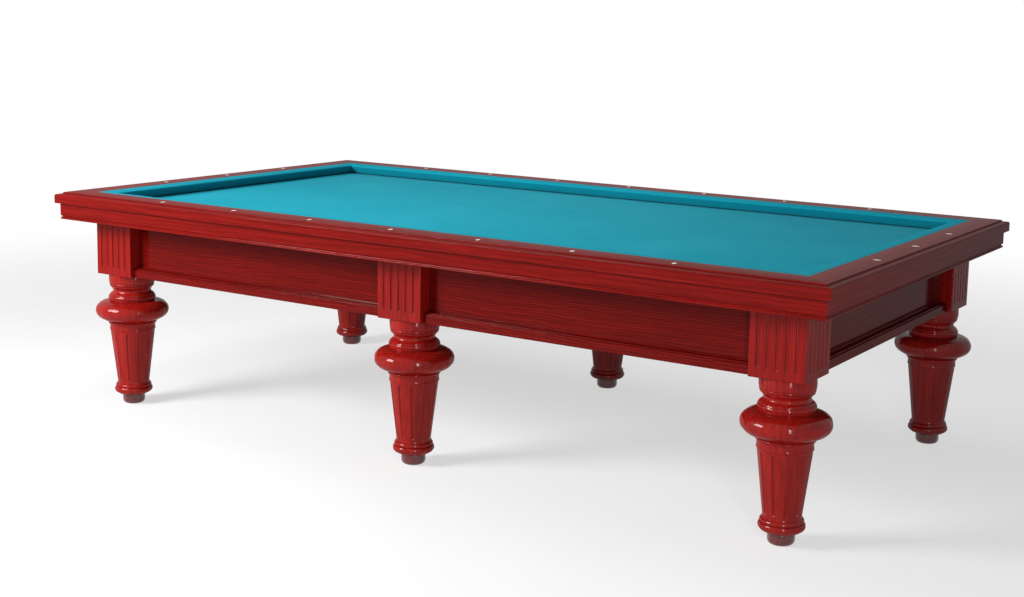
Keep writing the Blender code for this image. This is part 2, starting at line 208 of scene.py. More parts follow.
# %% Node tools
def add(tree, kind, settings=None, **values):
    """One node of a kind, with its settings and with values for its inputs, given by name."""
    made = tree.nodes.new(kind)
    for key, value in (settings or {}).items():
        setattr(made, key, value)
    for key, value in values.items():
        made.inputs[key.replace("_", " ")].default_value = value
    return made


def link(tree, source, output, target, name):
    """Joins an output of one node to an input of another."""
    tree.links.new(source.outputs[output], target.inputs[name])


def mix_colours(tree, blend, factor, first, second):
    """A colour mix. factor, first and second are each a value or a (node, output) pair."""
    made = add(tree, "ShaderNodeMix", {"data_type": "RGBA", "blend_type": blend})
    for slot_index, source in ((0, factor), (6, first), (7, second)):
        if isinstance(source, tuple) and isinstance(source[0], bpy.types.Node):
            tree.links.new(source[0].outputs[source[1]], made.inputs[slot_index])
        else:
            made.inputs[slot_index].default_value = source
    return made


def ramp(tree, source, output, stops):
    """A ramp of colours, with stops as (place, colour)."""
    made = add(tree, "ShaderNodeValToRGB")
    stops_in = made.color_ramp.elements
    while len(stops_in) < len(stops):
        stops_in.new(0.5)
    for element, (place, colour) in zip(stops_in, stops):
        element.position, element.color = place, (*colour, 1)
    link(tree, source, output, made, "Fac")
    return made


def group(name, inputs, outputs):
    """An empty node group with named sockets, and its input and output nodes."""
    made = bpy.data.node_groups.new(name, "ShaderNodeTree")
    for label, kind, value in inputs:
        socket = made.interface.new_socket(label, in_out="INPUT", socket_type=kind)
        if value is not None:
            socket.default_value = value
    for label, kind in outputs:
        made.interface.new_socket(label, in_out="OUTPUT", socket_type=kind)
    return made, made.nodes.new("NodeGroupInput"), made.nodes.new("NodeGroupOutput")


print("node tools ready")

# %% [markdown]
# ## Wood grain
#
# A board is cut from a round trunk, so its face shows slices of nested rings. The group keeps that idea:
# rings round the grain's axis, whose pith lies outside the board and runs at a slight slant, so that they
# surface as long arches. The grain runs along X in here, and each material turns its board to suit.
# Fine dark pores run along it, and a slow change of tone keeps two boards from looking alike.

# %% Wood grain group
FLOAT, COLOUR, VECTOR = "NodeSocketFloat", "NodeSocketColor", "NodeSocketVector"
grain, grain_in, grain_out = group(
    "wood_grain",
    [("Vector", VECTOR, None), ("Ring scale", FLOAT, 24.0), ("Waviness", FLOAT, 9.0),
     ("Early wood", COLOUR, (0.3, 0.02, 0.01, 1)), ("Late wood", COLOUR, (0.15, 0.005, 0.004, 1)),
     ("Figure", FLOAT, 0.5), ("Pores", FLOAT, 0.5)],
    [("Colour", COLOUR), ("Height", FLOAT)],
)
stretch = add(grain, "ShaderNodeMapping", Location=(0, 0.07, -0.05), Rotation=(0, 0.012, 0.02),
              Scale=(0.13, 1, 1))
link(grain, grain_in, "Vector", stretch, "Vector")
rings = add(grain, "ShaderNodeTexWave", {"wave_type": "RINGS", "rings_direction": "X", "wave_profile": "SIN"},
            Detail=3, Detail_Scale=0.9, Detail_Roughness=0.55)
link(grain, stretch, "Vector", rings, "Vector")
link(grain, grain_in, "Ring scale", rings, "Scale")
link(grain, grain_in, "Waviness", rings, "Distortion")
ring_tone = ramp(grain, rings, "Fac", [(0.0, (0, 0, 0)), (0.62, (0.45, 0.45, 0.45)), (1.0, (1, 1, 1))])
tone = add(grain, "ShaderNodeTexNoise", Scale=5, Detail=3, Roughness=0.5)
link(grain, stretch, "Vector", tone, "Vector")
both = mix_colours(grain, "OVERLAY", 0.75, (ring_tone, "Color"), (tone, "Fac"))
figured = mix_colours(grain, "MIX", 0.5, (0.55, 0.55, 0.55, 1), (both, 2))
link(grain, grain_in, "Figure", figured, 0)
wood = mix_colours(grain, "MIX", 0.5, (0, 0, 0, 1), (0, 0, 0, 1))
grain.links.new(figured.outputs[2], wood.inputs[0])
link(grain, grain_in, "Late wood", wood, 6)
link(grain, grain_in, "Early wood", wood, 7)
fibres = add(grain, "ShaderNodeMapping", Scale=(2.5, 110, 110))
link(grain, grain_in, "Vector", fibres, "Vector")
streaks = add(grain, "ShaderNodeTexNoise", Scale=1, Detail=4, Roughness=0.65, Distortion=0.4)
link(grain, fibres, "Vector", streaks, "Vector")
streak_tone = ramp(grain, streaks, "Fac", [(0.30, (0.74, 0.70, 0.70)), (0.70, (1.14, 1.10, 1.10))])
streaked = mix_colours(grain, "MULTIPLY", 1.0, (wood, 2), (streak_tone, "Color"))
along = add(grain, "ShaderNodeMapping", Scale=(14, 420, 420))
link(grain, grain_in, "Vector", along, "Vector")
pores = add(grain, "ShaderNodeTexNoise", Scale=1, Detail=2, Roughness=0.6)
link(grain, along, "Vector", pores, "Vector")
pore_mask = add(grain, "ShaderNodeMapRange", From_Min=0.56, From_Max=0.70)
link(grain, pores, "Fac", pore_mask, "Value")
pore_depth = add(grain, "ShaderNodeMath", {"operation": "MULTIPLY"})
link(grain, pore_mask, "Result", pore_depth, 0)
link(grain, grain_in, "Pores", pore_depth, 1)
finished = mix_colours(grain, "MULTIPLY", (pore_depth, "Value"), (streaked, 2), (0.45, 0.35, 0.35, 1))
grain.links.new(finished.outputs[2], grain_out.inputs["Colour"])
sunk = add(grain, "ShaderNodeMath", {"operation": "SUBTRACT"})
sunk.inputs[0].default_value = 1
link(grain, pore_depth, "Value", sunk, 1)
link(grain, sunk, "Value", grain_out, "Height")
print("wood grain group:", len(grain.nodes), "nodes")

# %% [markdown]
# ## Lacquer
#
# Sprayed lacquer is smooth but never perfect. It ripples a little, as an orange's skin does, and it wears
# where hands and cloths rub it. The group gives a roughness and a height for that, which both go to the layer
# under the clear coat. That layer has no shine of its own in `mahogany`, so its roughness tells only where
# another renderer gives it one, and the coat above it has one even gloss.

# %% Lacquer group
lacquer, lacquer_in, lacquer_out = group(
    "lacquer",
    [("Vector", VECTOR, None), ("Gloss", FLOAT, 0.2), ("Rubbing", FLOAT, 0.08),
     ("Ripple scale", FLOAT, 70.0)],
    [("Roughness", FLOAT), ("Height", FLOAT)],
)
patches = add(lacquer, "ShaderNodeTexNoise", Scale=9, Detail=4, Roughness=0.6)
link(lacquer, lacquer_in, "Vector", patches, "Vector")
rubbed = add(lacquer, "ShaderNodeMath", {"operation": "MULTIPLY_ADD"})
link(lacquer, patches, "Fac", rubbed, 0)
link(lacquer, lacquer_in, "Rubbing", rubbed, 1)
link(lacquer, lacquer_in, "Gloss", rubbed, 2)
link(lacquer, rubbed, "Value", lacquer_out, "Roughness")
ripple = add(lacquer, "ShaderNodeTexNoise", Detail=1, Roughness=0.4)
link(lacquer, lacquer_in, "Vector", ripple, "Vector")
link(lacquer, lacquer_in, "Ripple scale", ripple, "Scale")
link(lacquer, ripple, "Fac", lacquer_out, "Height")
print("lacquer group:", len(lacquer.nodes), "nodes")


# %% Lacquered mahogany
def mahogany(name, turn, shift, figure, tone=1.0, ring_scale=24.0, polish=0.16):
    """Mahogany with its grain turned to run along a board and shifted to a place in the trunk of its own."""
    material = bpy.data.materials.new(name)
    material.use_nodes = True
    tree = material.node_tree
    shader = tree.nodes["Principled BSDF"]
    shader.inputs["IOR"].default_value = 1.5
    shader.inputs["Specular IOR Level"].default_value = 0.0
    shader.inputs["Coat Weight"].default_value = polish
    shader.inputs["Coat Roughness"].default_value = 0.12
    place = add(tree, "ShaderNodeTexCoord")
    board = add(tree, "ShaderNodeMapping", Rotation=turn, Location=shift)
    link(tree, place, "Object", board, "Vector")
    wood_group = add(tree, "ShaderNodeGroup", {"node_tree": grain}, Ring_scale=ring_scale, Figure=figure,
                     Early_wood=(*(tone * np.array(EARLY)), 1),
                     Late_wood=(*(tone * np.array(LATE)), 1), Pores=0.4)
    link(tree, board, "Vector", wood_group, "Vector")
    coat = add(tree, "ShaderNodeGroup", {"node_tree": lacquer}, Gloss=0.2, Rubbing=0.10)
    link(tree, place, "Object", coat, "Vector")
    link(tree, wood_group, "Colour", shader, "Base Color")
    link(tree, coat, "Roughness", shader, "Roughness")
    pore_bump = add(tree, "ShaderNodeBump", Strength=0.03, Distance=0.0002)
    link(tree, wood_group, "Height", pore_bump, "Height")
    ripple_bump = add(tree, "ShaderNodeBump", Strength=0.05, Distance=0.0004)
    link(tree, coat, "Height", ripple_bump, "Height")
    link(tree, pore_bump, "Normal", ripple_bump, "Normal")
    link(tree, ripple_bump, "Normal", shader, "Normal")
    return material


EARLY, LATE = (0.30, 0.0105, 0.0072), (0.125, 0.0022, 0.0017)
QUARTER = math.pi / 2
wood_along = mahogany("mahogany_along_x", (0, 0, 0), (0.3, 0.02, 0.05), 0.26, tone=0.72)
wood_across = mahogany("mahogany_along_y", (0, 0, -QUARTER), (0.7, 0.05, 0.02), 0.26, tone=0.72)
panel_along = mahogany("panel_along_x", (0, 0, 0), (0.9, 0.06, 0.47), 0.48, tone=0.56, ring_scale=38.0)
panel_across = mahogany("panel_along_y", (0, 0, -QUARTER), (1.7, 0.06, 0.47), 0.48, tone=0.56,
                        ring_scale=38.0)
post_wood = mahogany("mahogany_posts", (0, QUARTER, 0), (0.5, 0.21, 0.13), 0.16, tone=0.95, ring_scale=16.0,
                     polish=0.25)
leg_wood = mahogany("mahogany_legs", (0, QUARTER, 0), (0.1, 0.11, 0.07), 0.20, tone=1.15, ring_scale=16.0,
                    polish=0.36)
print("mahogany made for boards along X, along Y and upright")

# %% [markdown]
# ## Billiard cloth
#
# Billiard cloth is worsted wool, woven fine and shorn close. From a step away it is a flat, even colour. Near
# by it shows a weave of about half a millimetre and loose fibres, and play leaves faint paler patches.
# The group gives the colour and the height of all of that, and the material adds the wool's soft sheen.

# %% Cloth group
fibre, fibre_in, fibre_out = group(
    "worsted_cloth",
    [("Vector", VECTOR, None), ("Dye", COLOUR, (0.005, 0.27, 0.35, 1)),
     ("Worn dye", COLOUR, (0.02, 0.32, 0.4, 1)), ("Thread scale", FLOAT, 520.0)],
    [("Colour", COLOUR), ("Height", FLOAT)],
)
weave = []
for direction in ("X", "Y"):
    threads = add(fibre, "ShaderNodeTexWave", {"wave_type": "BANDS", "bands_direction": direction},
                  Distortion=1.5, Detail=1)
    link(fibre, fibre_in, "Vector", threads, "Vector")
    link(fibre, fibre_in, "Thread scale", threads, "Scale")
    weave.append(threads)
crossing = add(fibre, "ShaderNodeMath", {"operation": "MAXIMUM"})
link(fibre, weave[0], "Fac", crossing, 0)
link(fibre, weave[1], "Fac", crossing, 1)
link(fibre, crossing, "Value", fibre_out, "Height")
wear = add(fibre, "ShaderNodeTexNoise", Scale=2.3, Detail=5, Roughness=0.62)
link(fibre, fibre_in, "Vector", wear, "Vector")
wear_mask = add(fibre, "ShaderNodeMapRange", From_Min=0.35, From_Max=0.75)
link(fibre, wear, "Fac", wear_mask, "Value")
dyed = mix_colours(fibre, "MIX", (wear_mask, "Result"), (0, 0, 0, 1), (0, 0, 0, 1))
link(fibre, fibre_in, "Dye", dyed, 6)
link(fibre, fibre_in, "Worn dye", dyed, 7)
fuzz = add(fibre, "ShaderNodeTexNoise", Scale=260, Detail=3, Roughness=0.7)
link(fibre, fibre_in, "Vector", fuzz, "Vector")
fuzz_tone = ramp(fibre, fuzz, "Fac", [(0.3, (0.90, 0.90, 0.90)), (0.7, (1.08, 1.08, 1.08))])
fuzzed = mix_colours(fibre, "MULTIPLY", 1.0, (dyed, 2), (fuzz_tone, "Color"))
fibre.links.new(fuzzed.outputs[2], fibre_out.inputs["Colour"])
print("cloth group:", len(fibre.nodes), "nodes")


# %% Cloth
def billiard_cloth(name, dye, worn):
    """Matt wool with a soft sheen, whose weave follows the table."""
    material = bpy.data.materials.new(name)
    material.use_nodes = True
    tree = material.node_tree
    shader = tree.nodes["Principled BSDF"]
    shader.inputs["Roughness"].default_value = 0.95
    shader.inputs["Specular IOR Level"].default_value = 0.04
    shader.inputs["Sheen Weight"].default_value = 0.03
    shader.inputs["Sheen Roughness"].default_value = 0.4
    shader.inputs["Sheen Tint"].default_value = (0.45, 0.85, 0.95, 1)
    place = add(tree, "ShaderNodeTexCoord")
    wool = add(tree, "ShaderNodeGroup", {"node_tree": fibre}, Dye=(*dye, 1), Worn_dye=(*worn, 1))
    link(tree, place, "Object", wool, "Vector")
    link(tree, wool, "Colour", shader, "Base Color")
    bump = add(tree, "ShaderNodeBump", Strength=0.3, Distance=0.0003)
    link(tree, wool, "Height", bump, "Height")
    link(tree, bump, "Normal", shader, "Normal")
    return material


bed_wool = billiard_cloth("bed_wool", (0.009, 0.262, 0.345), (0.016, 0.300, 0.385))
cushion_wool = billiard_cloth("cushion_wool", (0.004, 0.245, 0.325), (0.008, 0.270, 0.350))
print("cloth made for the bed and the cushions")

# %% [markdown]
# ## Hidden and small materials
#
# The slates, the pine frame, the rubber and the steel spindles show only from below or not at all, but each
# still gets its own finish. The inlays are mother-of-pearl, whose tint drifts between cream and pink.


# %% Plain finishes
def speckled(name, first, second, scale, roughness, metallic=0.0, squash=(1, 1, 1), bump=0.1, coat=0.0):
    """A finish that drifts between two colours by a noise, squashed along an axis for a brushed look."""
    material = bpy.data.materials.new(name)
    material.use_nodes = True
    tree = material.node_tree
    shader = tree.nodes["Principled BSDF"]
    shader.inputs["Metallic"].default_value = metallic
    shader.inputs["Coat Weight"].default_value = coat
    shader.inputs["Coat Roughness"].default_value = 0.08
    place = add(tree, "ShaderNodeTexCoord")
    turn = add(tree, "ShaderNodeMapping", Scale=squash)
    link(tree, place, "Object", turn, "Vector")
    noise = add(tree, "ShaderNodeTexNoise", Scale=scale, Detail=5, Roughness=0.6)
    link(tree, turn, "Vector", noise, "Vector")
    tint = ramp(tree, noise, "Fac", [(0.35, first), (0.65, second)])
    link(tree, tint, "Color", shader, "Base Color")
    rough = add(tree, "ShaderNodeMapRange", To_Min=roughness * 0.85, To_Max=roughness * 1.15)
    link(tree, noise, "Fac", rough, "Value")
    link(tree, rough, "Result", shader, "Roughness")
    relief = add(tree, "ShaderNodeBump", Strength=bump, Distance=0.0004)
    link(tree, noise, "Fac", relief, "Height")
    link(tree, relief, "Normal", shader, "Normal")
    return material


slate_grey = speckled("slate_grey", (0.06, 0.065, 0.072), (0.12, 0.125, 0.13), 22, 0.6, squash=(1, 2.5, 1))
pine = speckled("pine", (0.36, 0.22, 0.10), (0.55, 0.38, 0.20), 9, 0.7, squash=(0.6, 9, 9))
pine_across = speckled("pine_across", (0.36, 0.22, 0.10), (0.55, 0.38, 0.20), 9, 0.7, squash=(9, 0.6, 9))
steel = speckled("steel", (0.42, 0.42, 0.43), (0.62, 0.62, 0.63), 60, 0.35, 1.0, squash=(1, 1, 12))
gum_rubber = speckled("gum_rubber", (0.28, 0.14, 0.06), (0.36, 0.19, 0.09), 40, 0.8)
pearl = speckled("pearl", (0.86, 0.74, 0.58), (0.92, 0.80, 0.70), 130, 0.25, bump=0.02, coat=0.5)
foot_wood = speckled("foot_wood", (0.070, 0.006, 0.006), (0.13, 0.012, 0.010), 14, 0.22, squash=(9, 9, 0.8),
                     bump=0.03, coat=0.35)

FINISHES = {"slate": slate_grey, "side_beam": pine, "cross_beam": pine_across, "spindle": steel,
            "rubber": gum_rubber}
for node_name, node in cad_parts.items():
    for first_word, finish in FINISHES.items():
        if node_name.startswith(first_word):
            node.data.materials.clear()
            node.data.materials.append(finish)
print("hidden pieces finished")

# %% [markdown]
# ## The legs
#
# A turner makes the leg on a lathe from a template, and then a router cuts round-ended flutes into the
# tapering shaft. The surface here is the same two steps. The radius is the template's curve over the height,
# less the depth of a ball-nosed cutter wherever a point lies within the cutter's reach of a flute.
# The columns of points crowd together where the flutes are.

# %% The leg's template
leg_low, leg_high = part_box("leg_front_middle")
foot_low, foot_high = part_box("foot_front_middle")
spindle_low, spindle_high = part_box("spindle_front_middle")
leg_top = post_low[2] - joint_gap
leg_foot = leg_low[2]
bulge = (leg_high[0] - leg_low[0]) / 2
hex_radius = (spindle_high[0] - spindle_low[0]) / 2

BORE, BORE_DEPTH, HEX_BORE_TOP, HEX_CLEARANCE = 0.0088, 0.095, 0.0433, 0.0025
FOOT_LIFT = 0.0087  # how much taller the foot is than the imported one, and how much shorter the leg
SHAFT_FOOT, SHAFT_TOP, SHAFT_FOOT_RADIUS, SHAFT_TOP_RADIUS = 0.0940, 0.2985, 0.0603, 0.0848
SHAFT_ROWS = 9
underside = leg_foot + FOOT_LIFT
hex_bore = hex_radius + HEX_CLEARANCE


def down(radius, depth):
    """A station of the template by its depth under the leg's top."""
    return radius, leg_top - depth


template = np.vstack([
    [(BORE, HEX_BORE_TOP + BORE_DEPTH), (BORE, HEX_BORE_TOP), (hex_bore, HEX_BORE_TOP),
     (hex_bore, underside)],
    smooth([(0.0465, underside), (0.0500, underside + 0.0004), (0.0590, 0.0424), (0.0675, 0.0480),
            (0.0720, 0.0548), (0.0722, 0.0610), (0.0700, 0.0668), (0.0680, 0.0686)]),
    smooth([(0.0656, 0.0692), (0.0674, 0.0716), (0.0678, 0.0752), (0.0664, 0.0792), (0.0640, 0.0820)], 4),
    [(0.0626, 0.0826), (0.0626, 0.0846)],
    smooth([(0.0609, 0.0856), (0.0602, 0.0892), (0.0602, SHAFT_FOOT - 0.001)], 4),
    np.stack([np.linspace(SHAFT_FOOT_RADIUS, SHAFT_TOP_RADIUS, SHAFT_ROWS),
              np.linspace(SHAFT_FOOT, SHAFT_TOP, SHAFT_ROWS)], axis=1),
    [(0.0851, SHAFT_TOP + 0.0006), (0.0872, SHAFT_TOP + 0.0014), (0.0874, SHAFT_TOP + 0.0034)],
    smooth([(0.0866, SHAFT_TOP + 0.0040), (0.0860, SHAFT_TOP + 0.0110), (0.0864, SHAFT_TOP + 0.0190),
            (0.0880, SHAFT_TOP + 0.0250)], 5),
    smooth([(0.0896, SHAFT_TOP + 0.0256), (0.0920, SHAFT_TOP + 0.0282), (0.0922, SHAFT_TOP + 0.0318),
            (0.0900, SHAFT_TOP + 0.0350)], 4),
    smooth([(0.0912, SHAFT_TOP + 0.0362), (0.1040, SHAFT_TOP + 0.0402), (0.1215, SHAFT_TOP + 0.0490),
            (0.1345, SHAFT_TOP + 0.0620), (bulge, SHAFT_TOP + 0.0775), (0.1362, SHAFT_TOP + 0.0915),
            (0.1270, SHAFT_TOP + 0.1030), (0.1130, SHAFT_TOP + 0.1108), (0.0985, SHAFT_TOP + 0.1146),
            (0.0880, SHAFT_TOP + 0.1155)], 8),
    smooth([down(0.0864, 0.1060), down(0.0873, 0.1010), down(0.0877, 0.0968)], 4),
    smooth([down(0.0888, 0.0958), down(0.0897, 0.0930), down(0.0892, 0.0895), down(0.0878, 0.0867)], 4),
    [down(0.0858, 0.0862), down(0.0856, 0.0850), down(0.0868, 0.0844), down(0.0860, 0.0821),
     down(0.0842, 0.0816), down(0.0838, 0.0804)],
    smooth([down(0.0838, 0.0799), down(0.0800, 0.0762), down(0.0752, 0.0727), down(0.0724, 0.0689),
            down(0.0719, 0.0657), down(0.0735, 0.0600), down(0.0768, 0.0547), down(0.0800, 0.0510)], 5),
    [down(0.0806, 0.0499), down(0.0829, 0.0493), down(0.0831, 0.0456), down(0.0814, 0.0449),
     down(0.0816, 0.0441)],
    smooth([down(0.0842, 0.0436), down(0.0852, 0.0414), down(0.0850, 0.0386), down(0.0838, 0.0370)], 4),
    smooth([down(0.0851, 0.0364), down(0.0866, 0.0310), down(0.0873, 0.0210), down(0.0869, 0.0090),
            down(0.0862, 0)], 5),
])
template = template[np.append(True, np.linalg.norm(np.diff(template, axis=0), axis=1) > 1e-5)]
print("leg template of", len(template), "points, height", round(float(np.ptp(template[:, 1])), 3), "m")

# %% Fluted legs
FLUTES, FLUTE_TURN, FLUTE_SHARE = 11, 0.076, 0.64
half_flute = np.array([0.25, 0.5, 0.75, 0.92, 1.0, 1.08, 1.5, 2.3])
across_flute = FLUTE_TURN * np.concatenate([-half_flute[::-1], [0], half_flute[:-1]])
flute_centres = -QUARTER + np.arange(FLUTES) * 2 * math.pi / FLUTES
turn = (flute_centres[:, None] + across_flute[None, :]).ravel()
from_centre = np.tile(across_flute, FLUTES)


def leg_rings(x, y):
    """Rings of a fluted leg. At a height z and a turn t the radius is the template's R(z), less the flute:
    its depth times the root of 1 - q squared, where q is the distance to the flute's centre line over the
    flute's half width. The half width is a fixed angle, so the flutes narrow with the shaft. Past the line's
    ends q counts the way along it too, at half rate at the foot, where the cutter lifts out slowly."""
    low_end, high_end = SHAFT_FOOT + 0.0130, SHAFT_TOP - 0.0130
    ends = np.concatenate([low_end - 0.0094 * np.array([1.0, 0.92, 0.75, 0.5, 0.25]),
                           high_end + 0.0064 * np.array([0, 0.25, 0.5, 0.75, 0.92, 1.0])])
    z_template = template[:, 1]
    first = int(np.argmin(np.abs(z_template - SHAFT_FOOT) + np.abs(template[:, 0] - SHAFT_FOOT_RADIUS)))
    last = first + SHAFT_ROWS - 1
    heights = np.sort(np.concatenate([z_template[first: last + 1], ends]))
    radii = np.interp(heights, z_template[first: last + 1], template[first: last + 1, 0])
    outline = np.vstack([template[:first], np.stack([radii, heights], axis=1), template[last + 1:]])
    radius, z = outline[:, 0:1], outline[:, 1:2]
    reach = FLUTE_TURN * radius
    below, past = np.maximum(low_end - z, 0) / 2, np.maximum(z - high_end, 0)
    rows = np.arange(len(outline))[:, None]
    fluted = (rows >= first) & (rows < first + len(heights))
    q = np.sqrt((radius * from_centre) ** 2 + below**2 + past**2) / reach
    r = radius - fluted * FLUTE_SHARE * reach * np.sqrt(np.clip(1 - q**2, 0, None))
    return np.stack([x + r * np.cos(turn), y + r * np.sin(turn), np.broadcast_to(z, r.shape)], axis=-1)


for place_name in PLACES:
    low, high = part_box("leg_" + place_name)
    x, y = (low[0] + high[0]) / 2, (low[1] + high[1]) / 2
    name = "turned_leg_" + place_name
    leg = piece(name, solid(name, leg_rings(x, y)), leg_wood, ["leg_" + place_name])
print("six legs of", len(leg.data.polygons), "faces each")

# %% [markdown]
# ## The feet
#
# Under each leg a round foot turns on its steel spindle, so that the table can be levelled. Its lower edge is
# rounded where a castor cup would take it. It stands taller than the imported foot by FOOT_LIFT, and a recess
# in its top hides the spindle's hexagon. It rides on its own body, because it turns.

# %% Feet
foot_radius = (foot_high[0] - foot_low[0]) / 2
foot_height = foot_high[2] + FOOT_LIFT
STUB_BORE, STUB_DEPTH, AROUND = 0.0095, 0.0185, 72
recess_floor = foot_high[2] - 0.0005
foot_template = np.vstack([
    [(STUB_BORE, foot_high[2] - STUB_DEPTH), (STUB_BORE, recess_floor), (hex_bore, recess_floor),
     (hex_bore, foot_height)],
    smooth([(foot_radius - 0.0040, foot_height), (foot_radius - 0.0016, foot_height - 0.0007),
            (foot_radius - 0.0004, foot_height - 0.0024), (foot_radius, foot_height - 0.0060),
            (foot_radius, 0.0170), (foot_radius - 0.0012, 0.0100), (foot_radius - 0.0042, 0.0045),
            (foot_radius - 0.0085, 0.0012), (foot_radius - 0.0125, 0.0)], 5),
])
around = np.linspace(0, 2 * math.pi, AROUND, endpoint=False)
for place_name in PLACES:
    low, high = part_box("foot_" + place_name)
    x, y = (low[0] + high[0]) / 2, (low[1] + high[1]) / 2
    r, z = foot_template[:, 0:1], foot_template[:, 1:2]
    height = np.broadcast_to(z, (len(r), AROUND))
    rings = np.stack([x + r * np.cos(around), y + r * np.sin(around), height], axis=-1)
    name = "turned_foot_" + place_name
    piece(name, solid(name, rings), foot_wood, ["foot_" + place_name], body="foot_" + place_name)
print("six feet,", round(2000 * foot_radius), "mm across")

# %% [markdown]
# ## The posts
#
# A square post sits over each leg and carries the rails. A ball-nosed cutter runs five grooves down each
# face that shows, and stops short of the post's foot. The surface runs round the square and up it, and each
# point sinks inwards by the cutter's depth where a groove passes.

# %% Grooved posts
GROOVES, GROOVE_PITCH, GROOVE_REACH, GROOVE_DEPTH = 5, 0.0310, 0.0058, 0.0045
POST_EDGE, POST_CHAMFER, FOOT_RUNOUT = 0.0030, 0.0012, 1.6
BEYOND_REACH = 1.0  # a distance no cutter reaches, for points that stay on the plain face
groove_foot, groove_head = post_low[2] + 0.036, fascia_low[2] - 0.016


def post_rings(low, high, grooved):
    """Rings of a post. The outline walks round a square with rounded edges. A point on a grooved face moves
    inwards by the depth times the root of 1 - q squared, where q is its distance from the nearest groove's
    centre line, counted round the line's ends too, over the cutter's reach."""
    half = (high[0] - low[0]) / 2
    flat = half - POST_EDGE
    offsets = GROOVE_REACH * np.array([-1.12, -1, -0.93, -0.8, -0.6, -0.35, 0, 0.35, 0.6, 0.8, 0.93, 1, 1.12])
    centres = (np.arange(GROOVES) - (GROOVES - 1) / 2) * GROOVE_PITCH
    fine = np.concatenate([[-flat], (centres[:, None] + offsets).ravel(), [flat]])
    corner = np.linspace(-math.pi / 4, math.pi / 4, 7)[1:-1]
    outline, inward, distance = [], [], []
    for side in range(4):
        facing = -QUARTER + side * QUARTER
        normal = np.array([math.cos(facing), math.sin(facing)])
        tangent = np.array([-math.sin(facing), math.cos(facing)])
        run = fine if grooved[side] else np.array([-flat, flat])
        outline.append(normal * half + run[:, None] * tangent)
        inward.append(np.broadcast_to(-normal, (len(run), 2)))
        nearest = np.abs(run[:, None] - centres).min(axis=1)
        distance.append(nearest if grooved[side] else np.full(len(run), BEYOND_REACH))
        bend = facing + math.pi / 4 + corner
        outline.append((normal + tangent) * flat + POST_EDGE * np.stack([np.cos(bend), np.sin(bend)], axis=1))
        inward.append(np.zeros((len(corner), 2)))
        distance.append(np.full(len(corner), BEYOND_REACH))
    outline, inward, distance = np.vstack(outline), np.vstack(inward), np.concatenate(distance)
    tips = GROOVE_REACH * np.array([1.05, 1.0, 0.93, 0.8, 0.6, 0.35, 0.15, 0])
    between = np.linspace(groove_foot, groove_head, 6)[1:-1]
    heights = np.concatenate([[low[2] + POST_CHAMFER], groove_foot - tips * FOOT_RUNOUT, between,
                              groove_head + tips[::-1], [high[2]]])
    below, past = np.maximum(groove_foot - heights, 0) / FOOT_RUNOUT, np.maximum(heights - groove_head, 0)
    q = np.sqrt(distance**2 + (below**2 + past**2)[:, None]) / GROOVE_REACH
    depth = GROOVE_DEPTH * np.sqrt(np.clip(1 - q**2, 0, None))
    centre = np.array([(low[0] + high[0]) / 2, (low[1] + high[1]) / 2])
    plan = centre + outline + inward * depth[..., None]
    bottom = centre + outline * (1 - 0.0010 / half)
    plan, heights = np.concatenate([bottom[None], plan]), np.append(low[2], heights)
    return np.concatenate([plan, np.broadcast_to(heights[:, None, None], (*plan.shape[:2], 1))], axis=-1)


for place_name in PLACES:
    low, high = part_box("post_" + place_name)
    front, end = place_name.startswith("front"), place_name.rsplit("_", 1)[1]
    grooved = (front, end == "right", not front, end == "left")
    name = "grooved_post_" + place_name
    mesh = solid(name, post_rings(low, high, grooved))
    piece(name, mesh, post_wood, ["post_" + place_name])
print("six posts with", GROOVES, "grooves on each outer face")

# %% [markdown]
# ## The aprons
#
# Between the posts runs a wide, plain panel, and under it a foot rail stands forward with a small double
# moulding along its top edge. Both come from one outline carried along the board.


# %% Aprons
MOULDING_CREASE = 28  # degrees past which an edge of a moulding stays sharp


def apron_outline(face, low_z, high_z, reach):
    """The board's section as (distance forward, z), round and closed, with its moulding filleted."""
    panel = face - 0.032
    rail = low_z + 0.030
    corners = [(face, low_z), (face, rail), (face - 0.0065, rail), (face - 0.0065, rail + 0.0050),
               (panel + 0.0045, rail + 0.0052), (panel + 0.0033, rail + 0.0074), (panel, rail + 0.0092),
               (panel, high_z), (face - reach, high_z), (face - reach, low_z)]
    radii = [0.0018, 0.0016, 0.0006, 0.0014, 0.0006, 0.0008, 0.0008, 0.0006, 0.0004, 0.0006]
    return filleted(corners, radii, 6)


for node_name in [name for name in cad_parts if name.startswith("apron")]:
    low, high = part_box(node_name)
    end_board = high[0] - low[0] < high[1] - low[1]
    across = 0 if end_board else 1
    outwards = 1 if low[across] + high[across] > 0 else -1
    face = max(abs(low[across]), abs(high[across]))
    outline = apron_outline(face, low[2], high[2], high[across] - low[across])
    span = np.array([low[1 - across], high[1 - across]])
    rings = np.empty((2, len(outline), 3))
    rings[..., across] = outwards * outline[:, 0]
    rings[..., 1 - across] = span[:, None]
    rings[..., 2] = outline[:, 1]
    name = "moulded_" + node_name
    finish = panel_across if end_board else panel_along
    piece(name, solid(name, rings, MOULDING_CREASE), finish, [node_name])
print("six apron boards with a moulded foot rail")


# %% [markdown]
# ## Bars round the bed
#
# Rails, fascias and cushions all run round the bed as a picture frame does. One function carries a section
# along a side and cuts its ends at 45 degrees: a point further out lies further along by as much.

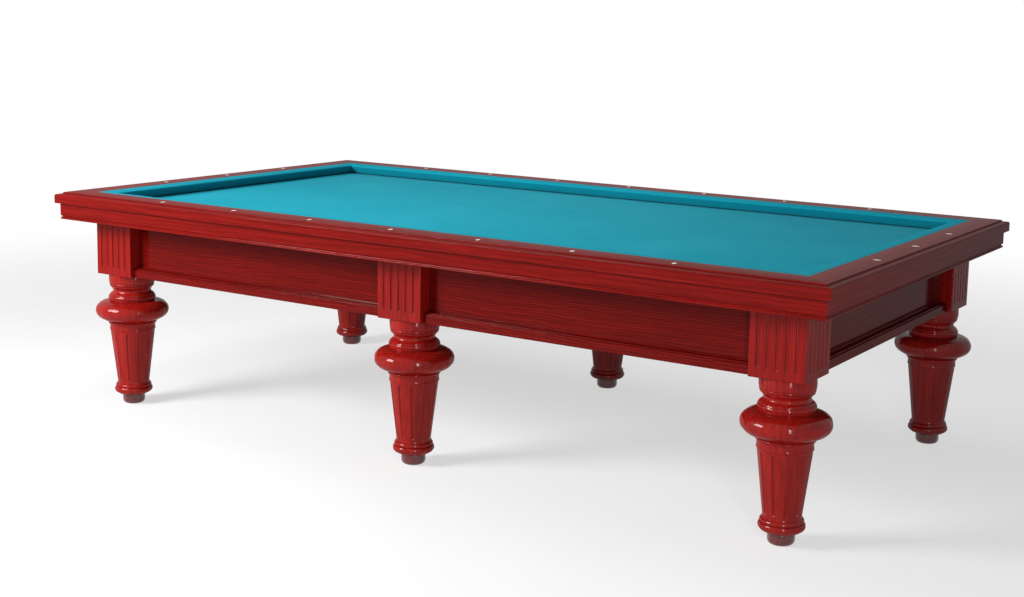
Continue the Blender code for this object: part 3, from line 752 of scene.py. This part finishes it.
# %% Mitred bars
def mitred(side, outline):
    """Rings of one side of the frame. A section point (out, z) lies half the playing size plus out from the
    middle, across the bar, and the bar ends half its own playing size plus out from the middle."""
    spans = {"front": (half_length, half_width, 0), "right": (half_width, half_length, 1),
             "back": (half_length, half_width, 2), "left": (half_width, half_length, 3)}
    half_span, middle, quarter_turns = spans[side]
    out, z = outline[:, 0], outline[:, 1]
    ends = half_span + out - joint_gap / 2
    along_bar = np.array([-1.0, 1.0])[:, None] * ends
    away = np.broadcast_to(-(middle + out), along_bar.shape)
    angle = quarter_turns * QUARTER
    x = along_bar * math.cos(angle) - away * math.sin(angle)
    y = along_bar * math.sin(angle) + away * math.cos(angle)
    return np.stack([x, y, np.broadcast_to(z, x.shape)], axis=-1)


def board_wood(side):
    """Mahogany whose grain runs along a side of the frame."""
    return wood_along if side in ("front", "back") else wood_across


# %% Rails
flat_edge = rail_out - 0.023
seat = top - 0.0018
rail_outline = filleted(
    [(wood_inner, rail_bottom), (wood_inner, seat), (cloth_strip + joint_gap, seat),
     (cloth_strip + joint_gap, top), (flat_edge, top),
     (flat_edge, top - 0.0035), (flat_edge + 0.0012, top - 0.0050),
     (rail_out - 0.0040, top - 0.0078), (rail_out, top - 0.0115), (rail_out, rail_bottom + 0.0005),
     (rail_out - 0.0030, rail_bottom)],
    [0.0004, 0.0004, 0.0003, 0.0008, 0.0014, 0.0006, 0.0006, 0.0034, 0.0022, 0.0004, 0.0004], 6)
for side in SIDES:
    name = "moulded_rail_" + side
    mesh = solid(name, mitred(side, rail_outline), MOULDING_CREASE)
    piece(name, mesh, board_wood(side), ["rail_" + side])
print("four rails,", round(1000 * (rail_out - cloth_strip)), "mm of wood outside the cloth")

# %% Fascias
base, cap_z, face = fascia_low[2], fascia_high[2], fascia_out
cove = smooth([(face - 0.0004, base + 0.0150), (face - 0.0030, base + 0.0138), (face - 0.0046, base + 0.0112),
               (face - 0.0040, base + 0.0086), (face - 0.0018, base + 0.0068)], 4)
bead = smooth([(face - 0.0012, base + 0.0062), (face - 0.0002, base + 0.0046), (face - 0.0003, base + 0.0022),
               (face - 0.0016, base + 0.0006), (face - 0.0030, base)], 4)
fascia_outline = np.vstack([[(fascia_back, base), (fascia_back, cap_z), (face - 0.0005, cap_z),
                             (face, cap_z - 0.0005), (face, base + 0.0155)], cove, bead])
for side in SIDES:
    name = "moulded_fascia_" + side
    mesh = solid(name, mitred(side, fascia_outline), MOULDING_CREASE)
    piece(name, mesh, board_wood(side), ["fascia_" + side])
print("four fascias,", round(1000 * (cap_z - base)), "mm tall")

# %% [markdown]
# ## Cushions
#
# A strip of rubber is glued along the rail, and cloth is pulled over it: from a slot in the rail's top, over
# the sloping top, round the narrow nose and back under. The nose stands a little below the rail's top and a
# little above a ball's middle. The cloth is a thin closed strip of its own over the rubber.

# %% Cushion cloth
CLOTH, CLOTH_CREASE = 0.0012, 40
bends = [(cloth_strip - joint_gap, top - joint_gap), (0.0339, top - joint_gap), (0.0023, top - 0.0046),
         (0.0, top - 0.0069), (0.0, top - 0.0110), (0.0202, cloth_foot), (0.0337, cloth_foot)]
cushion_path = filleted(bends, [0, 0.020, 0.0026, 0.0026, 0.0026, 0.0040, 0], 7)
cushion_path = cushion_path[np.append(True, np.linalg.norm(np.diff(cushion_path, axis=0), axis=1) > 1e-6)]
cushion_outline = thickened(cushion_path[::-1], CLOTH)
for side in SIDES:
    name = "cushion_wool_" + side
    strip = piece(name, solid(name, mitred(side, cushion_outline), CLOTH_CREASE), cushion_wool,
                  ["cushion_cloth_" + side])

# %% [markdown]
# ## The bed cloth
#
# The cloth is stretched flat over three slates and runs on under the cushions. It is a thin slab whose long
# edges are rounded over.

# %% Bed cloth
thick = bed_high[2] - bed_low[2]
slab = filleted([(bed_low[1], bed_low[2]), (bed_high[1], bed_low[2]), (bed_high[1], bed_high[2]),
                 (bed_low[1], bed_high[2])], thick * 0.4, 4)
rings = np.empty((2, len(slab), 3))
rings[..., 0] = np.array([bed_low[0], bed_high[0]])[:, None]
rings[..., 1], rings[..., 2] = slab[:, 0], slab[:, 1]
bed = piece("bed_wool", solid("bed_wool", rings), bed_wool, ["bed_cloth"])

# %% [markdown]
# ## Inlays
#
# Players aim by lozenges of mother-of-pearl let into the rail tops: seven on each long rail, at eighths of
# the playing length, and three on each end rail, at quarters of its width. Each lozenge points across its
# rail. It stands less than 0.2 mm proud, with a fine bevelled rim.

# %% Lozenges
LOZENGE_ACROSS, LOZENGE_ALONG, INLAY_OUT = 0.0150, 0.0068, 0.105
levels = np.array([(1.0, top - 0.0009), (1.0, top + 0.00005), (0.93, top + 0.00018)])
for side in SIDES:
    long_side = side in ("front", "back")
    count, span = (7, half_length) if long_side else (3, half_width)
    away = (half_width if long_side else half_length) + INLAY_OUT
    sign = -1 if side in ("front", "left") else 1
    lozenge = filleted([(LOZENGE_ALONG, 0), (0, LOZENGE_ACROSS), (-LOZENGE_ALONG, 0), (0, -LOZENGE_ACROSS)],
                       0.0008, 4)
    for number in range(count):
        centre = -span + (number + 1) * 2 * span / (count + 1)
        shape = lozenge[None] * levels[:, 0, None, None]
        along_rail, across_rail = centre + shape[..., 0], sign * away + shape[..., 1]
        pair = (along_rail, across_rail) if long_side else (across_rail, along_rail)
        rings = np.stack([*pair, np.broadcast_to(levels[:, 1:2], along_rail.shape)], axis=-1)
        name = f"inlay_{side}_{number + 1}"
        piece(name, solid(name, rings), pearl)
print("20 inlays")

# %% [markdown]
# ## The studio
#
# A wide pale floor runs out to white. A large soft lamp stands in front on the left, a tall narrow one on the
# right, and a long one hangs above. Their reflections draw the bright lines along the mouldings. Floor and
# world look white to the camera and in reflections, and light the table only softly. Flat boards get a thin
# lacquer, because white surroundings lay a veil over dark wood that is seen almost edge on. The turned legs
# take a fuller polish, as they would from a cloth held against them on the lathe, and the posts one between.

# %% Floor
radii = np.concatenate([[0.001], np.geomspace(0.5, 60, 24)])[:, None]
compass = np.linspace(0, 2 * math.pi, 96, endpoint=False)
x, y = radii * np.cos(compass), radii * np.sin(compass)
points = np.stack([x, y, np.zeros_like(x)], axis=-1)
index = np.arange(x.size).reshape(x.shape)
index = np.hstack([index, index[:, :1]])
quads = np.stack([index[:-1, :-1], index[1:, :-1], index[1:, 1:], index[:-1, 1:]], axis=-1).reshape(-1, 4)
floor_mesh = bpy.data.meshes.new("floor")
floor_mesh.from_pydata(points.reshape(-1, 3).tolist(), [], quads.tolist() + [index[0, :-1].tolist()])
floor = bpy.data.objects.new("floor", floor_mesh)
bpy.context.scene.collection.objects.link(floor)


def backdrop_rays(tree):
    """One for camera, transmission and glossy rays, which meet a white backdrop, and nought for others."""
    rays = add(tree, "ShaderNodeLightPath")
    direct = add(tree, "ShaderNodeMath", {"operation": "MAXIMUM"})
    link(tree, rays, "Is Camera Ray", direct, 0)
    link(tree, rays, "Is Transmission Ray", direct, 1)
    every = add(tree, "ShaderNodeMath", {"operation": "MAXIMUM"})
    link(tree, direct, "Value", every, 0)
    link(tree, rays, "Is Glossy Ray", every, 1)
    return every


floor_material = bpy.data.materials.new("studio_floor")
floor_material.use_nodes = True
tree = floor_material.node_tree
shader = tree.nodes["Principled BSDF"]
shader.inputs["Roughness"].default_value = 0.6
shader.inputs["Specular IOR Level"].default_value = 0.0
grain_noise = add(tree, "ShaderNodeTexNoise", Scale=3, Detail=3)
place = add(tree, "ShaderNodeTexCoord")
link(tree, place, "Object", grain_noise, "Vector")
pale = ramp(tree, grain_noise, "Fac", [(0.3, (0.80, 0.80, 0.80)), (0.7, (0.83, 0.83, 0.83))])
distance = add(tree, "ShaderNodeVectorMath", {"operation": "LENGTH"})
link(tree, place, "Object", distance, 0)
link(tree, pale, "Color", shader, "Base Color")
away = add(tree, "ShaderNodeMapRange", {"interpolation_type": "SMOOTHSTEP"}, From_Min=2.0, From_Max=6.0,
           To_Min=0.60, To_Max=1.0)
link(tree, distance, "Value", away, "Value")
bright = add(tree, "ShaderNodeMath", {"operation": "MULTIPLY"})
link(tree, backdrop_rays(tree), "Value", bright, 0)
link(tree, away, "Result", bright, 1)
glow = add(tree, "ShaderNodeEmission", Color=(1, 1, 1, 1), Strength=1.0)
lifted = add(tree, "ShaderNodeMixShader")
link(tree, bright, "Value", lifted, 0)
link(tree, shader, "BSDF", lifted, 1)
link(tree, glow, "Emission", lifted, 2)
sides = add(tree, "ShaderNodeNewGeometry")
clear = add(tree, "ShaderNodeBsdfTransparent")
one_sided = add(tree, "ShaderNodeMixShader")
link(tree, sides, "Backfacing", one_sided, 0)
link(tree, lifted, "Shader", one_sided, 1)
link(tree, clear, "BSDF", one_sided, 2)
link(tree, one_sided, "Shader", tree.nodes["Material Output"], "Surface")
floor_mesh.materials.append(floor_material)
print("floor ready")


# %% Lamps and world
def soft_lamp(name, place, target, width, height, power):
    """A rectangular lamp at a place, turned to a target."""
    data = bpy.data.lights.new(name, "AREA")
    data.shape, data.size, data.size_y, data.energy = "RECTANGLE", width, height, power
    lamp = bpy.data.objects.new(name, data)
    bpy.context.scene.collection.objects.link(lamp)
    away = np.array(place, float) - np.array(target, float)
    away /= np.linalg.norm(away)
    sideways = np.cross((0, 0, 1), away)
    sideways /= np.linalg.norm(sideways)
    turned = np.eye(4)
    turned[:3, 0], turned[:3, 1], turned[:3, 2] = sideways, np.cross(away, sideways), away
    turned[:3, 3] = place
    lamp.matrix_world = Matrix(turned.tolist())
    return lamp


soft_lamp("key", (-2.5, -3.7, 2.5), (0.2, -0.3, 0.6), 1.8, 1.6, 300)
soft_lamp("strip", (2.9, -3.0, 1.12), (0.3, -0.4, 1.0), 0.2, 2.2, 44)
soft_lamp("overhead", (-0.8, 0.3, 3.6), (0.0, 0.0, 0.8), 3.0, 1.2, 62)

world = bpy.data.worlds.new("studio")
world.use_nodes = True
bpy.context.scene.world = world
tree = world.node_tree
backdrop = tree.nodes["Background"]
shown = mix_colours(tree, "MIX", (backdrop_rays(tree), "Value"), (0.11, 0.11, 0.115, 1), (1, 1, 1, 1))
tree.links.new(shown.outputs[2], backdrop.inputs["Color"])
bpy.context.scene.view_settings.view_transform = "Standard"
print("three lamps and a soft world")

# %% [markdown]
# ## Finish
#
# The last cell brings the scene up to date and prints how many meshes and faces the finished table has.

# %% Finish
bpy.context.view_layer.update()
made = [item for item in bpy.data.objects if item.type == "MESH" and not item.hide_render]
print(len(made), "meshes,", sum(len(item.data.polygons) for item in made), "faces")
